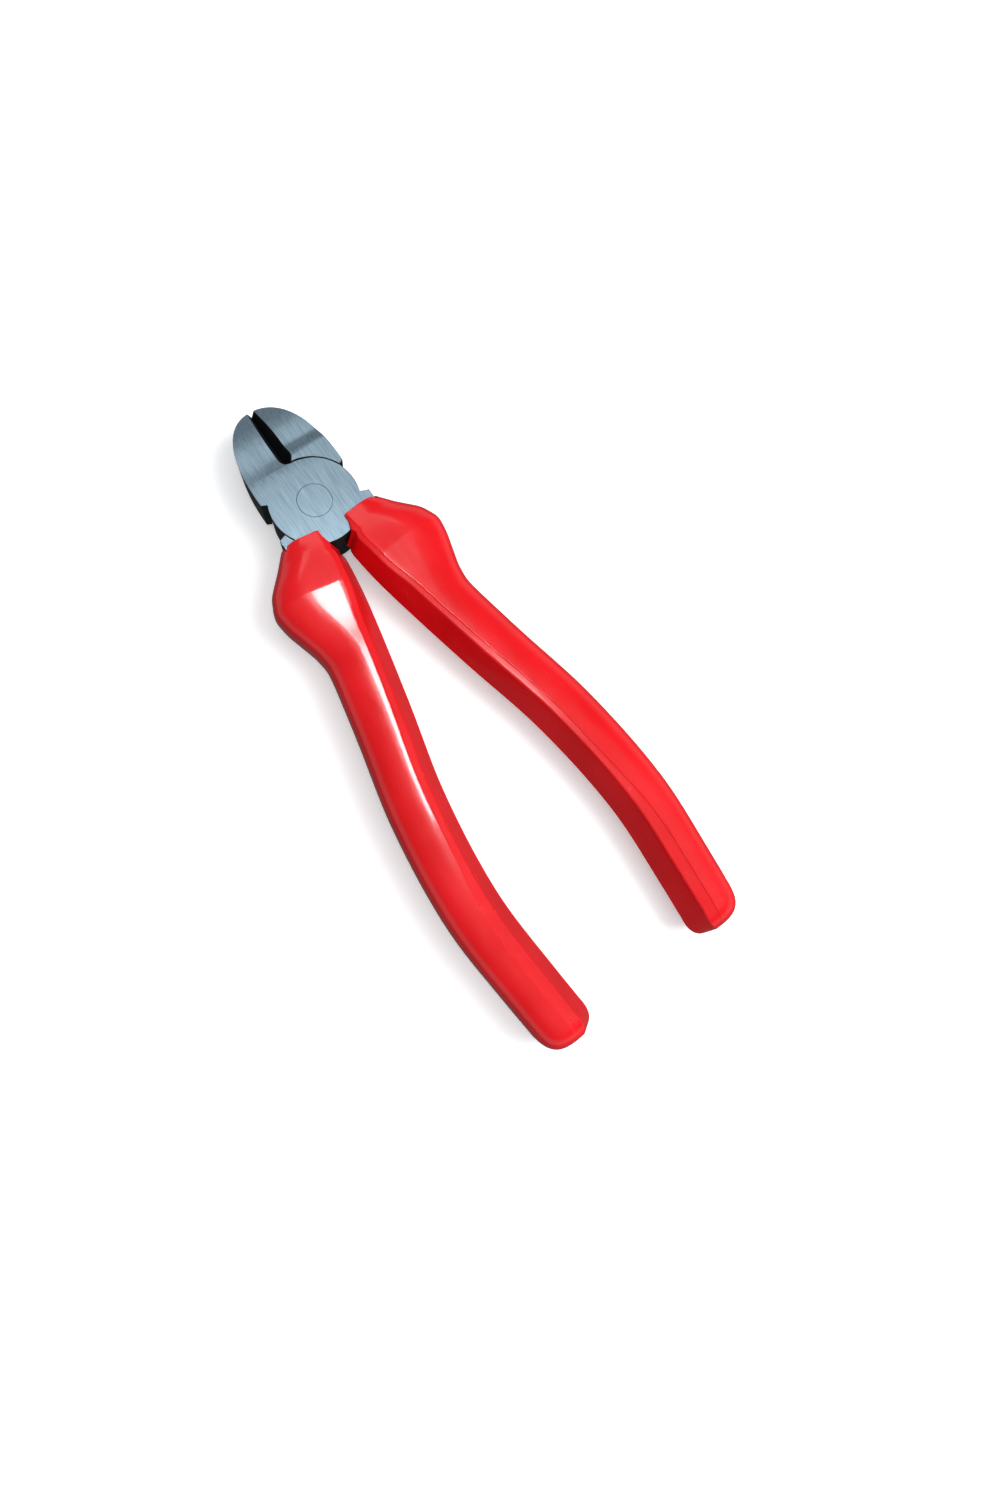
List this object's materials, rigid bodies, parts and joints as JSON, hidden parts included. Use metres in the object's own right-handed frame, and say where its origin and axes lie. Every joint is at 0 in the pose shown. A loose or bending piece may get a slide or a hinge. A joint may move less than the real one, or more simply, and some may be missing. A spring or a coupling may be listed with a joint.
{
  "type": "diagonal cutting pliers",
  "caption": "Diagonal cutting pliers with bright ground jaws lapped on a flush rivet and flared glossy moulded grips.",
  "frame": {"origin": "middle of the joint's flat underside, on the pivot axis", "axes": "+Z along the pivot axis, out of the upper joint face; +Y towards the jaw tips; +X towards the grip that belongs to the upper half"},
  "size_m": [0.0606, 0.1595, 0.014],
  "materials": {
    "forged_steel": "bright ground faces with a fine grain along the tool, black scale on the sides and in the cutting bevels",
    "rivet_steel": "ground flush with the joint face",
    "red_vinyl": "glossy moulded vinyl with soft ripples"
  },
  "bodies": {
    "lower_half": {"lower_lever": "forged_steel", "left_grip": "red_vinyl", "pivot_rivet": "rivet_steel"},
    "upper_half": {"upper_lever": "forged_steel", "right_grip": "red_vinyl"}
  },
  "joints": [
    {"name": "pivot", "type": "hinge", "parent": "lower_half", "child": "upper_half", "pos_m": [0, 0, 0.005], "axis": [0, 0, 1], "range_deg": [0, 42]}
  ]
}
